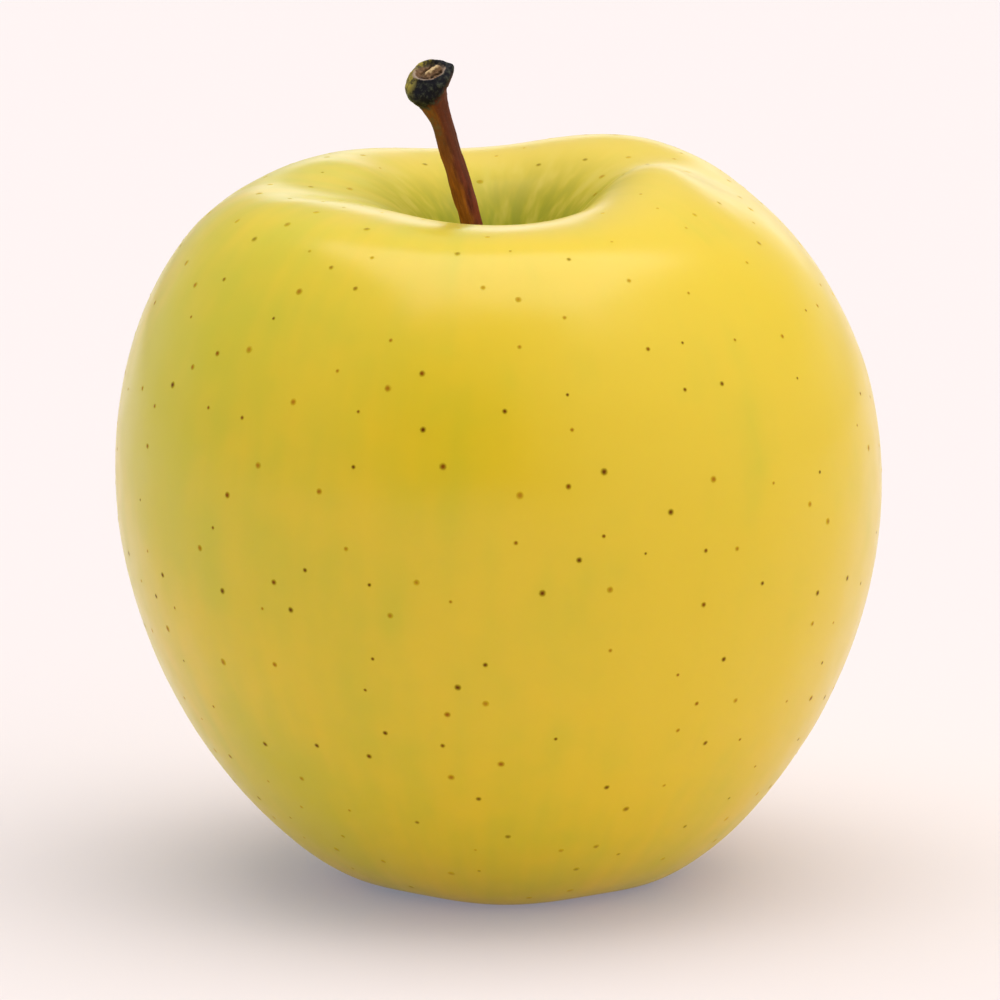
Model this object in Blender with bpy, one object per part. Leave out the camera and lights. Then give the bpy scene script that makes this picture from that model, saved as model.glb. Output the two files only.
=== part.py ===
"""A whole yellow apple, standing on the five lobes of its base, with its woody stalk and its dried calyx.

Metres, +Z up, with the origin on the floor at the middle of the apple's width and depth. The side
that shows in a picture from the front faces -Y. Angles run anticlockwise seen from above, from +X.
"""

from math import atan2, cos, exp, pi, radians, sin

import bmesh
import bpy
import numpy as np
from mathutils import Vector

MM = 0.001

# Driving sizes of the fruit
HEIGHT = 67.3 * MM  # crest of the shoulders, between their lobes, above the floor
HALF_WIDTH = 37.4 * MM  # widest radius, a little above half height
WIDEST_AT = 39.8 * MM
CREST_RADIUS = 17.9 * MM  # of the ring where the shoulders are highest
CAVITY_DEPTH = 16.0 * MM  # the funnel round the stalk, below the crest
BASE_RADIUS = 11.3 * MM  # of the ring that meets the floor
BASIN_DEPTH = 7.6 * MM  # the hollow that holds the calyx
LEAN = 0.016  # the core leans towards -X by this share of the height
BOW = 1.3 * MM  # top and base stand up to a quarter of this further towards +X than the middle
CENTRE = Vector((0.12 * MM, 0.21 * MM, 0))  # brings the middle of the whole to the origin

# Five lobes go round the fruit: the first points to the back right, and the third to the left
LOBES = 5
LOBE_ANGLE = radians(52)
LOBE_TURNS = [radians(5), radians(5), 0, 0, 0]  # how far each lobe strays from an even spacing
SHOULDER_LIFTS = [3.5 * MM, 2.1 * MM, 1.0 * MM, -0.75 * MM, -1.4 * MM]
SHOULDER_SHARPNESS = 10.6  # higher for narrower shoulders
RIM_FOLD_START = 5.0 * MM  # no fold reaches the stalk's socket
RIM_FOLDS = [  # along the crest, each as (angle, height, sharpness, middle radius, reach)
    (radians(-10), 4.2 * MM, 13, 14.0 * MM, 7.0 * MM),
    (radians(-36), 1.3 * MM, 20, 19.0 * MM, 6.0 * MM),
    (radians(155), 0.8 * MM, 50, 16.0 * MM, 7.0 * MM),
    (radians(192), -0.6 * MM, 40, 17.0 * MM, 6.0 * MM),
]
SHOULDER_SWELL = 0.010
WAIST_SWELL = 0.004
BASE_SWELL = 0.004
BASE_WAVE = 0.3 * MM  # from the lobes of the base up to the valleys between them
BASE_PRESS = 0.15 * MM  # how far the lobes would go below the floor if they weren't flat there
BASE_REACH = 5.0 * MM  # the height at which that wave has died away

# The stalk: its path above the fruit as (x, z), and its thickness
STALK_RADIUS = 1.05 * MM
STALK_SOCKET = 3.0 * MM
STALK_PATH = [
    (-1.2 * MM, 57.5 * MM),
    (-2.65 * MM, 64.4 * MM),
    (-4.3 * MM, 70.2 * MM),
    (-5.6 * MM, 74.4 * MM),
]

# The head of the stalk, as (x, z, half width) rings up to the rim of its scar
HEAD_RINGS = [
    (-6.05 * MM, 75.6 * MM, 1.25 * MM),
    (-6.45 * MM, 76.6 * MM, 1.60 * MM),
    (-6.9 * MM, 77.4 * MM, 2.05 * MM),
    (-6.9 * MM, 78.2 * MM, 2.20 * MM),
    (-6.75 * MM, 78.8 * MM, 2.15 * MM),
    (-6.65 * MM, 79.3 * MM, 1.80 * MM),
]
SCAR_FACING = Vector((-0.20, -0.50, 0.84))  # the scar looks up, forwards and a little to the left
SCAR_RIM = 0.8  # inner edge of the rim, as a share of its radius
SCAR_FLOOR = 0.55  # the sunk floor, as a share of the same radius
SCAR_DEPTH = 0.35 * MM
SPUR_LENGTH = 0.7 * MM
SPUR_ANGLE = radians(12)
SPUR_HALF_ANGLE = radians(16)

# The calyx: five dried sepals round a hub that sits in the roof of the basin
CALYX_RADIUS = 2.6 * MM
CALYX_SEAT = 1.5 * MM
CALYX_HUB = 2.2 * MM
SEPAL_LENGTH = 2.4 * MM
SEPAL_SPREAD = 1.5 * MM
SEPAL_THICKNESS = 0.5 * MM  # at their tips
SEPAL_TAPER = 0.25 * MM  # how much thinner each face makes them on the way there
SEPAL_CURL = radians(135)  # the sepals bulge out and curl back in by this much of a half turn
SEPAL_WIDTH_POWER = 0.7  # lower for broader sepals

GAP = 0.3 * MM  # between pieces that sit in one another
SHARP_ANGLE = radians(50)  # edges that turn by more than this are shaded sharp

SPLINE_POWER = 0.7  # of the spacing between a spline's stations: lower rounds off sharper bends
SPLINE_STEPS = 24
RINGS = 54
SEGMENTS = 64
STALK_SIDES = 30
STALK_STEPS = 14
CALYX_SIDES = 50
SEPAL_STEPS = 5

SKIN_YELLOW = (0.68, 0.49, 0.05)
STALK_BROWN = (0.16, 0.06, 0.02)
CALYX_BROWN = (0.12, 0.09, 0.05)


def clear_scene():
    for thing in list(bpy.data.objects):
        bpy.data.objects.remove(thing, do_unlink=True)


def material(name, colour, roughness):
    """A plain finish with no metal in it."""
    finish = bpy.data.materials.new(name)
    finish.use_nodes = True
    shader = finish.node_tree.nodes["Principled BSDF"]
    shader.inputs["Base Color"].default_value = (*colour, 1)
    shader.inputs["Roughness"].default_value = roughness
    shader.inputs["Metallic"].default_value = 0
    return finish


def ramp(low, high, value):
    """0 below low and 1 above high, with a smooth rise between them."""
    t = min(max((value - low) / (high - low), 0), 1)
    return t * t * (3 - 2 * t)


def curve_through(stations, count):
    """Points at even spacing along the natural cubic spline that passes through the stations."""
    knots = np.array(stations, float)
    spans = np.linalg.norm(np.diff(knots, axis=0), axis=1) ** SPLINE_POWER
    matrix = np.eye(len(knots))
    pulls = np.zeros_like(knots)
    for i in range(1, len(knots) - 1):
        before, after = spans[i - 1], spans[i]
        matrix[i, i - 1 : i + 2] = before, 2 * (before + after), after
        slope_after = (knots[i + 1] - knots[i]) / after
        slope_before = (knots[i] - knots[i - 1]) / before
        pulls[i] = 6 * (slope_after - slope_before)
    bends = np.linalg.solve(matrix, pulls)
    dense = []
    for i, span in enumerate(spans):
        for b in np.linspace(0, 1, SPLINE_STEPS, endpoint=False):
            a = 1 - b
            bow = (a**3 - a) * bends[i] + (b**3 - b) * bends[i + 1]
            dense.append(a * knots[i] + b * knots[i + 1] + span**2 / 6 * bow)
    dense = np.array([*dense, knots[-1]])
    lengths = np.linalg.norm(np.diff(dense, axis=0), axis=1)
    along = np.concatenate([[0], np.cumsum(lengths)])
    wanted = np.linspace(0, along[-1], count)
    return np.column_stack([np.interp(wanted, along, axis) for axis in dense.T])


def core_at(height):
    """The middle of the fruit at a height."""
    from_middle = height / HEIGHT - 0.5
    return CENTRE + Vector((BOW * from_middle**2 - LEAN * HEIGHT * from_middle, 0, height))


def fruit_outline():
    """(radius, height) down half a section, from the stalk's socket over the cheek to the calyx's seat."""
    cavity_floor = HEIGHT - CAVITY_DEPTH
    socket = STALK_RADIUS + GAP
    seat = CALYX_RADIUS + GAP
    skin = curve_through(
        [
            (socket, cavity_floor),
            (4.5 * MM, HEIGHT - 0.50 * CAVITY_DEPTH),
            (10.5 * MM, HEIGHT - 0.12 * CAVITY_DEPTH),
            (CREST_RADIUS, HEIGHT),
            (25.5 * MM, 66.2 * MM),
            (34.0 * MM, 56.0 * MM),
            (HALF_WIDTH, WIDEST_AT),
            (33.0 * MM, 20.0 * MM),
            (18.7 * MM, 2.0 * MM),
            (BASE_RADIUS, 0),
            (6.8 * MM, 0.5 * BASIN_DEPTH),
            (seat, BASIN_DEPTH),
        ],
        RINGS,
    )
    socket_floor = cavity_floor - STALK_SOCKET
    seat_floor = BASIN_DEPTH + CALYX_SEAT
    return [(0, socket_floor), (socket, socket_floor), *skin, (seat, seat_floor), (0, seat_floor)]


def shoulder_lift(angle):
    """How high the shoulders stand at an angle: one rounded hump for each lobe."""
    lift = 0
    for k, (turn, height) in enumerate(zip(LOBE_TURNS, SHOULDER_LIFTS)):
        off = angle - LOBE_ANGLE - turn - 2 * pi * k / LOBES
        lift += height * (0.5 + 0.5 * cos(off)) ** SHOULDER_SHARPNESS
    return lift


def rim_fold(radius, angle, height):
    """How far the folds of the crest lift a point of the outline."""
    lift = 0
    for middle, rise, sharpness, ring, reach in RIM_FOLDS:
        turned = (0.5 + 0.5 * cos(angle - middle)) ** sharpness
        lift += rise * turned * exp(-(((radius - ring) / reach) ** 2))
    clear = ramp(STALK_RADIUS + GAP, RIM_FOLD_START, radius)
    return lift * clear * ramp(0.6 * HEIGHT, 0.85 * HEIGHT, height)


def grown(radius, angle, height):
    """Where an outline point is in the real fruit, with its lobes, its lean and its flat spots."""
    wave = cos(LOBES * (angle - LOBE_ANGLE))
    outward = ramp(0, 1.25 * CREST_RADIUS, radius)
    crest = ramp(0.45 * HEIGHT, HEIGHT, height) * outward
    base = (1 - ramp(0, 0.5 * HEIGHT, height)) * outward
    swell = SHOULDER_SWELL * crest + WAIST_SWELL * outward + BASE_SWELL * base
    foot = (1 - ramp(0, BASE_REACH, height)) * ramp(0, BASE_RADIUS, radius)
    rise = BASE_WAVE * (0.5 - 0.5 * wave) - BASE_PRESS
    out = radius * (1 + wave * swell)
    place = core_at(height) + Vector((out * cos(angle), out * sin(angle), 0))
    lift = shoulder_lift(angle) * crest + rim_fold(radius, angle, height)
    place.z = max(height + lift + rise * foot, 0)
    return place


def add_node(name, bm, finish):
    """A smooth-shaded object from a closed mesh, with its faces turned outwards."""
    bmesh.ops.recalc_face_normals(bm, faces=bm.faces)
    mesh = bpy.data.meshes.new(name)
    bm.to_mesh(mesh)
    bm.free()
    mesh.shade_smooth()
    mesh.set_sharp_from_angle(angle=SHARP_ANGLE)
    mesh.materials.append(finish)
    node = bpy.data.objects.new(name, mesh)
    bpy.context.scene.collection.objects.link(node)
    return node


def bridge_rings(bm, rings):
    """Faces between neighbouring rings, and across the first and the last."""
    loops = [[bm.verts.new(place) for place in ring] for ring in rings]
    for lower, upper in zip(loops, loops[1:]):
        count = len(lower)
        for i in range(count):
            j = (i + 1) % count
            bm.faces.new((lower[i], lower[j], upper[j], upper[i]))
    for end in (loops[0], loops[-1]):
        middle = bm.verts.new(sum((v.co for v in end), Vector()) / len(end))
        for i, v in enumerate(end):
            bm.faces.new((v, end[(i + 1) % len(end)], middle))


def make_fruit(finish):
    """The outline spun round the core, then grown into the real form."""
    bm = bmesh.new()
    verts = [bm.verts.new((r, 0, z)) for r, z in fruit_outline()]
    edges = [bm.edges.new(pair) for pair in zip(verts, verts[1:])]
    bmesh.ops.spin(
        bm,
        geom=verts + edges,
        axis=(0, 0, 1),
        cent=(0, 0, 0),
        angle=2 * pi,
        steps=SEGMENTS,
        use_merge=True,
    )
    bmesh.ops.remove_doubles(bm, verts=bm.verts, dist=0.01 * MM)
    for v in bm.verts:
        v.co = grown(v.co.xy.length, atan2(v.co.y, v.co.x), v.co.z)
    add_node("fruit", bm, finish)


def ring_round(centre, facing, radius, push=lambda angle: 1):
    """Points of a ring round a centre, square to facing and starting towards +X."""
    across = (Vector((1, 0, 0)) - facing * facing.x).normalized()
    along = facing.cross(across)
    ring = []
    for i in range(STALK_SIDES):
        angle = 2 * pi * i / STALK_SIDES
        ring.append(centre + radius * push(angle) * (across * cos(angle) + along * sin(angle)))
    return ring


def spur_push(strength):
    """How far out the scar's rim goes at an angle, for the pointed spur on its right."""

    def push(angle):
        off = (angle - SPUR_ANGLE + pi) % (2 * pi) - pi
        return 1 + strength * exp(-((off / SPUR_HALF_ANGLE) ** 2))

    return push


def make_stalk(finish):
    """A tapered stem from its socket up through the cavity, swollen into a head with a sunk scar."""
    floor = HEIGHT - CAVITY_DEPTH
    foot = core_at(floor - STALK_SOCKET + GAP)
    mouth = core_at(floor)
    path = curve_through([foot.xz, mouth.xz, *STALK_PATH, HEAD_RINGS[0][:2]], STALK_STEPS)
    outline = [*path, *[(x, z) for x, z, _ in HEAD_RINGS[1:]]]
    centres = [Vector((x, CENTRE.y, z)) for x, z in outline]
    radii = [STALK_RADIUS] * (STALK_STEPS - 1) + [width for _, _, width in HEAD_RINGS]
    scar = SCAR_FACING.normalized()
    rings = []
    for i, (centre, radius) in enumerate(zip(centres, radii)):
        ahead = centres[min(i + 1, len(centres) - 1)] - centres[max(i - 1, 0)]
        tilt = ramp(STALK_STEPS - 1, len(centres) - 1, i)
        facing = ahead.normalized().lerp(scar, tilt).normalized()
        rings.append(ring_round(centre, facing, radius, spur_push(tilt**3 * SPUR_LENGTH / radius)))
    rim = radii[-1]
    rings.append(ring_round(centres[-1], scar, SCAR_RIM * rim))
    rings.append(ring_round(centres[-1] - scar * SCAR_DEPTH, scar, SCAR_FLOOR * rim))
    bm = bmesh.new()
    bridge_rings(bm, rings)
    add_node("stalk", bm, finish)


def make_calyx(finish):
    """A hub in the basin's roof, whose lower edge runs out into five sepals round a small cup."""
    top = BASIN_DEPTH + CALYX_SEAT - GAP
    core = core_at(BASIN_DEPTH).xy.to_3d()

    def ring(radius, height, down=0):
        """A ring that reaches a share of the way down each sepal, and not at all between them."""
        places = []
        for i in range(CALYX_SIDES):
            angle = 2 * pi * i / CALYX_SIDES
            petal = abs(cos(LOBES * angle / 2)) ** SEPAL_WIDTH_POWER
            reach = radius + SEPAL_SPREAD * sin(SEPAL_CURL * down) * petal
            fall = SEPAL_LENGTH * down * petal
            places.append(core + Vector((reach * cos(angle), reach * sin(angle), height - fall)))
        return places

    mouth = top - CALYX_HUB
    rings = [ring(CALYX_RADIUS, top), ring(CALYX_RADIUS, top - CALYX_HUB / 2)]
    for down in np.linspace(0, 1, SEPAL_STEPS):
        rings.append(ring(CALYX_RADIUS - SEPAL_TAPER * down, mouth, down))
    for down in np.linspace(1, 0, SEPAL_STEPS):
        inner = CALYX_RADIUS - SEPAL_TAPER * (2 - down) - SEPAL_THICKNESS
        rings.append(ring(inner, mouth, down))
    bm = bmesh.new()
    bridge_rings(bm, rings)
    add_node("calyx", bm, finish)


def main():
    clear_scene()
    make_fruit(material("waxy_skin", SKIN_YELLOW, 0.35))
    make_stalk(material("stalk_bark", STALK_BROWN, 0.7))
    make_calyx(material("dry_sepals", CALYX_BROWN, 0.85))


main()
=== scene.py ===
"""The looks of a whole golden-yellow apple, standing on a pale floor in soft studio light.

Metres, +Z up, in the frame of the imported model. -Y is the side that the photograph shows.
"""

from math import cos, exp, pi, radians, sin
from random import Random

import bmesh
import bpy
import numpy as np
from mathutils import Matrix, Vector


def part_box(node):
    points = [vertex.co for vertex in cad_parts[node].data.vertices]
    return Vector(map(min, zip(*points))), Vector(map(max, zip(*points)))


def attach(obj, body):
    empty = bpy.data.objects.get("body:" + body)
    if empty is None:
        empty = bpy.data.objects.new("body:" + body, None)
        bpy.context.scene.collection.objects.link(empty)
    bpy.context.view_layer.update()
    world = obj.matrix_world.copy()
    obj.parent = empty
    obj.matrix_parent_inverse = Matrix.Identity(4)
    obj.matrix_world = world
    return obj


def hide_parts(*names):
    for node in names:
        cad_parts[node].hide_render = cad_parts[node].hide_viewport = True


MM = 0.001

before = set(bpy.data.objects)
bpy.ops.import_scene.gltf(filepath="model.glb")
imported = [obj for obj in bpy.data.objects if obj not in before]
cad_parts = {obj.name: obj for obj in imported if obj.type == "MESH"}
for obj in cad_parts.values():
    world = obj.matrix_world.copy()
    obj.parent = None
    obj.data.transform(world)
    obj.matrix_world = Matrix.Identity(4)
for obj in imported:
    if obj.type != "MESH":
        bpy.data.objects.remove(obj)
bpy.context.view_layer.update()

# Sizes of the fruit, the same as in the source of the solids
HEIGHT = 67.3 * MM
HALF_WIDTH = 37.4 * MM
WIDEST_AT = 39.8 * MM
CREST_RADIUS = 17.9 * MM
CAVITY_DEPTH = 16.0 * MM
BASE_RADIUS = 11.3 * MM
BASIN_DEPTH = 7.6 * MM
LEAN = 0.016
BOW = 1.3 * MM
CENTRE = Vector((0.12 * MM, 0.21 * MM, 0))
LOBES = 5
LOBE_ANGLE = radians(52)
LOBE_TURNS = [radians(5), radians(5), 0, 0, 0]
SHOULDER_LIFTS = [3.5 * MM, 2.1 * MM, 1.0 * MM, -0.75 * MM, -1.4 * MM]
SHOULDER_SHARPNESS = 10.6
RIM_FOLD_START = 5.0 * MM
RIM_FOLDS = [  # along the crest, each as (angle, height, sharpness, middle radius, reach)
    (radians(-10), 4.2 * MM, 13, 14.0 * MM, 7.0 * MM),
    (radians(-36), 1.3 * MM, 20, 19.0 * MM, 6.0 * MM),
    (radians(155), 0.8 * MM, 50, 16.0 * MM, 7.0 * MM),
    (radians(192), -0.6 * MM, 40, 17.0 * MM, 6.0 * MM),
]
SHOULDER_SWELL = 0.010
WAIST_SWELL = 0.004
BASE_SWELL = 0.004
BASE_WAVE = 0.3 * MM
BASE_PRESS = 0.15 * MM
BASE_REACH = 5.0 * MM
SPLINE_POWER = 0.7
SPLINE_STEPS = 24


def in_mm(*numbers):
    return tuple(number * MM for number in numbers)


# The stalk, as (x, z) places up its path and (x, z, half width) rings of its head
STALK_RADIUS = 1.05 * MM
STALK_PATH = [in_mm(-1.2, 57.5), in_mm(-2.65, 64.4), in_mm(-4.3, 70.2), in_mm(-5.6, 74.4)]
HEAD_RINGS = [
    in_mm(-6.05, 75.6, 1.25),
    in_mm(-6.45, 76.6, 1.60),
    in_mm(-6.9, 77.4, 2.05),
    in_mm(-6.9, 78.2, 2.20),
    in_mm(-6.75, 78.8, 2.15),
    in_mm(-6.65, 79.3, 1.80),
]
SCAR_FACING = Vector((-0.20, -0.50, 0.84)).normalized()

# The camera that took the photograph, looking along +Y and down
PICTURE_WIDTH = 1000
PIXELS_PER_METRE = 10200  # of the photograph, at the middle of the fruit
CAMERA_DISTANCE = 0.6
CAMERA_TILT = radians(10.66)
CAMERA_TARGET = Vector((0.12 * MM, 0, 37.08 * MM))
SENSOR_WIDTH = 36


class Value:
    """A socket of a node tree that takes part in sums: each step adds one Math node to the tree."""

    def __init__(self, graph, socket):
        self.graph = graph
        self.socket = socket

    def __add__(self, other):
        return self.graph.math("ADD", self, other)

    def __radd__(self, other):
        return self.graph.math("ADD", other, self)

    def __sub__(self, other):
        return self.graph.math("SUBTRACT", self, other)

    def __rsub__(self, other):
        return self.graph.math("SUBTRACT", other, self)

    def __mul__(self, other):
        return self.graph.math("MULTIPLY", self, other)

    def __rmul__(self, other):
        return self.graph.math("MULTIPLY", other, self)

    def __truediv__(self, other):
        return self.graph.math("DIVIDE", self, other)

    def __rtruediv__(self, other):
        return self.graph.math("DIVIDE", other, self)

    def __pow__(self, other):
        return self.graph.math("POWER", self, other)


class Graph:
    """Builds one node tree. A plain number sets a socket and a Value is linked to it."""

    def __init__(self, tree):
        self.tree = tree

    def node(self, kind, settings=None, **inputs):
        """Adds a node, with its settings and the inputs that fill takes."""
        node = self.tree.nodes.new(kind)
        for name, value in (settings or {}).items():
            setattr(node, name, value)
        return self.fill(node, **inputs)

    def fill(self, node, **inputs):
        """Feeds sockets of a node, each by its name with _ for a space, or by its place: in0, in1."""
        for name, value in inputs.items():
            if name.startswith("in") and name[2:].isdigit():
                socket = node.inputs[int(name[2:])]
            else:
                socket = next(s for s in node.inputs if s.enabled and s.name == name.replace("_", " "))
            self.feed(socket, value)
        return node

    def feed(self, socket, value):
        if isinstance(value, Value):
            self.tree.links.new(value.socket, socket)
        elif value is not None:
            socket.default_value = value

    def out(self, node, name=None):
        """The Value of a node's first live output, or of the one with that name."""
        for socket in node.outputs:
            if socket.enabled and (name is None or socket.name == name):
                return Value(self, socket)
        raise KeyError(name)

    def math(self, operation, *values):
        node = self.tree.nodes.new("ShaderNodeMath")
        node.operation = operation
        for socket, value in zip(node.inputs, values):
            self.feed(socket, value)
        return Value(self, node.outputs[0])

    def vector_math(self, operation, *values, scale=None):
        node = self.tree.nodes.new("ShaderNodeVectorMath")
        node.operation = operation
        for socket, value in zip(node.inputs, values):
            self.feed(socket, value)
        if scale is not None:
            self.feed(node.inputs["Scale"], scale)
        single = operation in ("LENGTH", "DISTANCE", "DOT_PRODUCT")
        return Value(self, node.outputs["Value" if single else "Vector"])

    def length(self, x, y):
        return self.math("SQRT", x * x + y * y)

    def split(self, vector):
        node = self.node("ShaderNodeSeparateXYZ", in0=vector)
        return [Value(self, socket) for socket in node.outputs]

    def join(self, x, y, z):
        return self.out(self.node("ShaderNodeCombineXYZ", in0=x, in1=y, in2=z))

    def ramp(self, low, high, value, low_to=0.0, high_to=1.0):
        """low_to below low and high_to above high, with a smooth change between them."""
        node = self.node("ShaderNodeMapRange", {"interpolation_type": "SMOOTHSTEP"})
        for socket, given in zip(node.inputs, (value, low, high, low_to, high_to)):
            self.feed(socket, given)
        return Value(self, node.outputs[0])

    def noise(self, vector, scale, detail=2.0, roughness=0.5):
        inputs = {"Vector": vector, "Scale": scale, "Detail": detail, "Roughness": roughness}
        return self.out(self.node("ShaderNodeTexNoise", **inputs))

    def grain(self, x, y, z, width, length, **fineness):
        """Noise with spots of a width across and a length along z."""
        return self.noise(self.join(x / width, y / width, z / length), 1.0, **fineness)

    def place(self):
        return self.out(self.node("GeometryNodeInputPosition"))

    def normal(self):
        return self.out(self.node("GeometryNodeInputNormal"))

    def draw(self, low, high, seed):
        """A random number for each point, or a random vector between two vectors."""
        settings = {"data_type": "FLOAT_VECTOR" if isinstance(low, tuple) else "FLOAT"}
        return self.out(self.node("FunctionNodeRandomValue", settings, Min=low, Max=high, Seed=seed))

    def read(self, name, data_type="FLOAT"):
        """A named attribute, in a geometry tree or in a material."""
        if self.tree.type == "GEOMETRY":
            settings = {"data_type": data_type}
            return self.out(self.node("GeometryNodeInputNamedAttribute", settings, Name=name))
        node = self.node("ShaderNodeAttribute", {"attribute_name": name})
        return self.out(node, "Fac" if data_type == "FLOAT" else "Vector")

    def mix(self, share, first, second):
        """A colour between two colours, by share."""
        node = self.tree.nodes.new("ShaderNodeMix")
        node.data_type = "RGBA"
        colours = [s for s in node.inputs if s.enabled and s.type == "RGBA"]
        self.feed(node.inputs[0], share)
        for socket, value in zip(colours, (first, second)):
            self.feed(socket, (*value, 1) if isinstance(value, tuple) else value)
        return Value(self, next(s for s in node.outputs if s.enabled))


def new_tree(name, tree_type, inputs, outputs):
    """A node tree with the named sockets, and its Graph with the inputs and the output node."""
    tree = bpy.data.node_groups.new(name, tree_type)
    for socket_name, socket_type, default in inputs:
        kind = "NodeSocket" + socket_type
        socket = tree.interface.new_socket(socket_name, in_out="INPUT", socket_type=kind)
        if default is not None:
            socket.default_value = default
    for socket_name, socket_type in outputs:
        tree.interface.new_socket(socket_name, in_out="OUTPUT", socket_type="NodeSocket" + socket_type)
    graph = Graph(tree)
    enter = tree.nodes.new("NodeGroupInput")
    leave = tree.nodes.new("NodeGroupOutput")
    given = {s.name: Value(graph, s) for s in enter.outputs if s.name}
    return tree, graph, given, leave


def geometry_tree(name, *inputs):
    """A tree that takes in and gives out one geometry, with more named inputs."""
    geometry = ("Geometry", "Geometry")
    return new_tree(name, "GeometryNodeTree", [(*geometry, None), *inputs], [geometry])


def link_object(name, data):
    thing = bpy.data.objects.new(name, data)
    bpy.context.scene.collection.objects.link(thing)
    return thing


def smooth_mesh(name, bm):
    """The mesh of a finished bmesh, shaded smooth."""
    mesh = bpy.data.meshes.new(name)
    bm.to_mesh(mesh)
    bm.free()
    mesh.shade_smooth()
    return mesh


def run_tree(thing, tree, **values):
    """Applies a geometry tree to an object and keeps the result as the object's plain mesh."""
    modifier = thing.modifiers.new(tree.name, "NODES")
    modifier.node_group = tree
    for socket in tree.interface.items_tree:
        key = socket.name.replace(" ", "_")
        if socket.in_out == "INPUT" and key in values:
            modifier[socket.identifier] = values[key]
    graph = bpy.context.evaluated_depsgraph_get()
    mesh = bpy.data.meshes.new_from_object(thing.evaluated_get(graph), depsgraph=graph)
    thing.modifiers.remove(modifier)
    thing.data = mesh
    mesh.name = thing.name
    return thing


def curve_through(stations, count):
    """Points at even spacing along the natural cubic spline that passes through the stations."""
    knots = np.array(stations, float)
    spans = np.linalg.norm(np.diff(knots, axis=0), axis=1) ** SPLINE_POWER
    matrix = np.eye(len(knots))
    pulls = np.zeros_like(knots)
    for i in range(1, len(knots) - 1):
        before, after = spans[i - 1], spans[i]
        matrix[i, i - 1 : i + 2] = before, 2 * (before + after), after
        slope_after = (knots[i + 1] - knots[i]) / after
        slope_before = (knots[i] - knots[i - 1]) / before
        pulls[i] = 6 * (slope_after - slope_before)
    bends = np.linalg.solve(matrix, pulls)
    dense = []
    for i, span in enumerate(spans):
        for b in np.linspace(0, 1, SPLINE_STEPS, endpoint=False):
            a = 1 - b
            bow = (a**3 - a) * bends[i] + (b**3 - b) * bends[i + 1]
            dense.append(a * knots[i] + b * knots[i + 1] + span**2 / 6 * bow)
    dense = np.array([*dense, knots[-1]])
    lengths = np.linalg.norm(np.diff(dense, axis=0), axis=1)
    along = np.concatenate([[0], np.cumsum(lengths)])
    wanted = np.linspace(0, along[-1], count)
    return np.column_stack([np.interp(wanted, along, axis) for axis in dense.T]).tolist()


def smooth_step(low, high, value):
    t = min(max((value - low) / (high - low), 0), 1)
    return t * t * (3 - 2 * t)


def core_at(height):
    """The middle of the fruit at a height."""
    from_middle = height / HEIGHT - 0.5
    return CENTRE + Vector((BOW * from_middle**2 - LEAN * HEIGHT * from_middle, 0, height))


# Camera and studio


def place_camera():
    data = bpy.data.cameras.new("camera")
    data.sensor_width = SENSOR_WIDTH
    data.lens = SENSOR_WIDTH * PIXELS_PER_METRE * CAMERA_DISTANCE / PICTURE_WIDTH
    camera = link_object("camera", data)
    back = Vector((0, -cos(CAMERA_TILT), sin(CAMERA_TILT)))
    camera.location = CAMERA_TARGET + CAMERA_DISTANCE * back
    camera.rotation_euler = back.to_track_quat("Z", "Y").to_euler()
    bpy.context.scene.camera = camera


BACKDROP = (1.0, 0.913, 0.905)  # the pale pink of the studio's paper
LAMPLIGHT = (1.0, 0.975, 0.95)
KEY_FACING = Vector((0.76, -0.42, 0.27)).normalized()
FLOOR_SIZE = 40
FLOOR_GLOW = (0.085, 0.13, 0.235)  # cool light of the paper's own, which keeps the shadow a neutral grey
FLOOR_WARMTH = (0.15, 0.13, 0.07)  # what it throws on to the fruit instead
FLOOR_BOUNCE = 0.89  # the share of the paper's light that it throws on to the fruit
FLOOR_LIGHT = 1.175  # light that reaches the open floor, against white
MIRRORED_GLOW = 0.6  # the share of the cool light that the fruit's gloss mirrors

# Strengths of the studio's lights, against the white backdrop
OVERHEAD_LIGHT = 2.26
KEY_LIGHT = 0.54
UPPER_LIGHT = 0.55
REAR_LIGHT = 0.30
LEFT_LIGHT = 0.45
RIGHT_LIGHT = 0.26
LOW_FRONT_LIGHT = 0.06
EVEN_LIGHT = 0.10


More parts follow.
